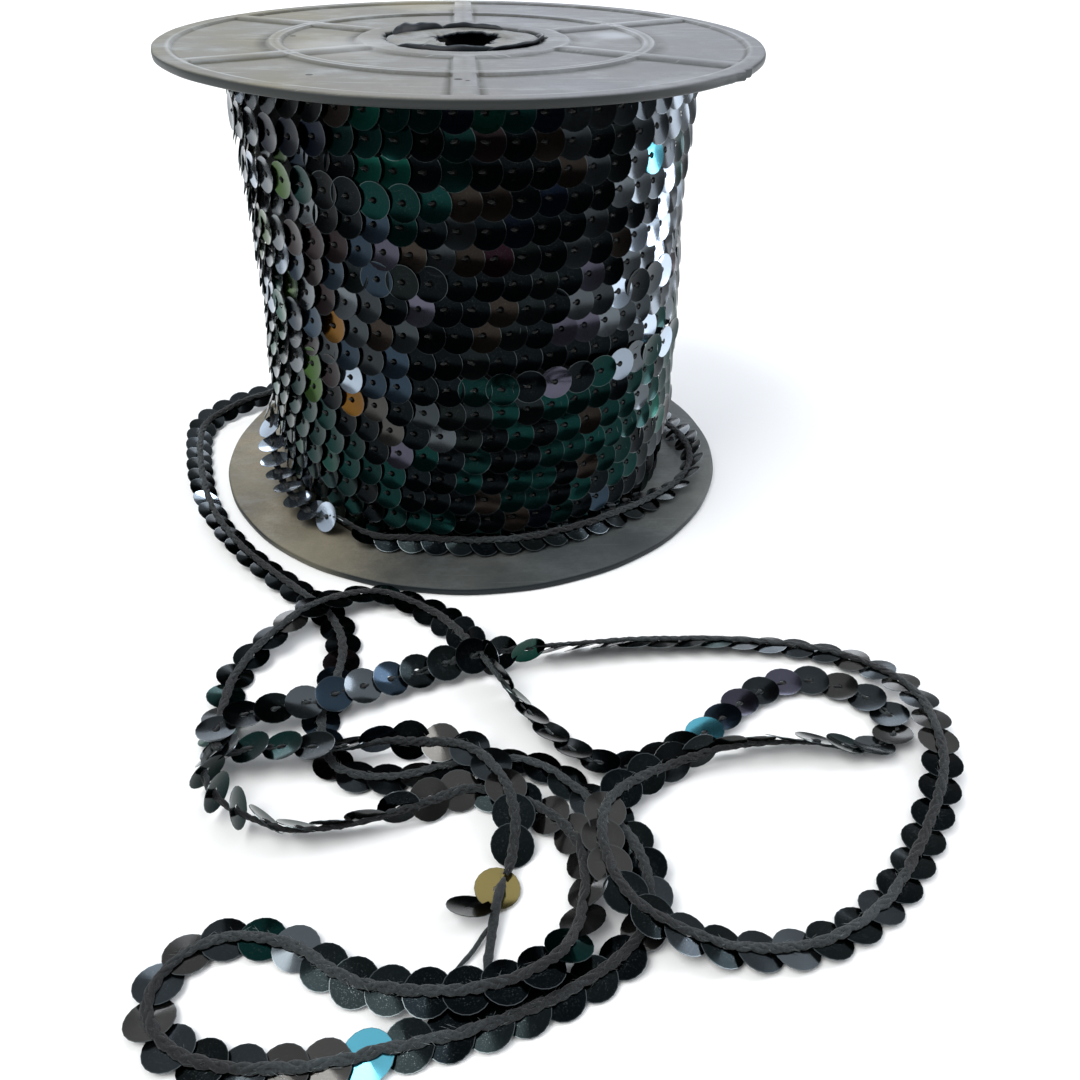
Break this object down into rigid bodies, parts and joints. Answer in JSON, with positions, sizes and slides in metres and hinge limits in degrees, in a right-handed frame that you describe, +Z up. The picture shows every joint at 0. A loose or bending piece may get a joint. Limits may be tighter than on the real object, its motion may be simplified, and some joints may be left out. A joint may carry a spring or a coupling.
{
  "type": "sequin trim on a spool",
  "caption": "Flat strip of threaded cup sequins wound on a moulded spool, with a slack turn on its lower flange and the loose end lying in loops.",
  "frame": {"origin": "on the spool's axis, at the surface that its lower flange stands on", "axes": "+Z up the spool's axis, -Y towards the loose end, +X to the right as seen from there"},
  "size_m": [0.1276, 0.1835, 0.0794],
  "materials": {
    "spool_plastic": "moulded, dusty, slightly worn",
    "core_skin": "thin, torn, dusty",
    "sequins": "black with green, grey and brown glints",
    "thread": "fuzzy chain stitch"
  },
  "bodies": {
    "root": {"flange_top": "spool_plastic", "flange_bottom": "spool_plastic", "core": "spool_plastic", "core_skin_top": "core_skin", "core_skin_bottom": "core_skin", "wound_trim": "sequins", "slack_turn": "sequins", "loose_trim_left_run": "sequins", "loose_trim_middle_run": "sequins", "loose_trim_end_run": "sequins", "thread_end": "thread", "thread_branch": "thread"}
  },
  "joints": []
}
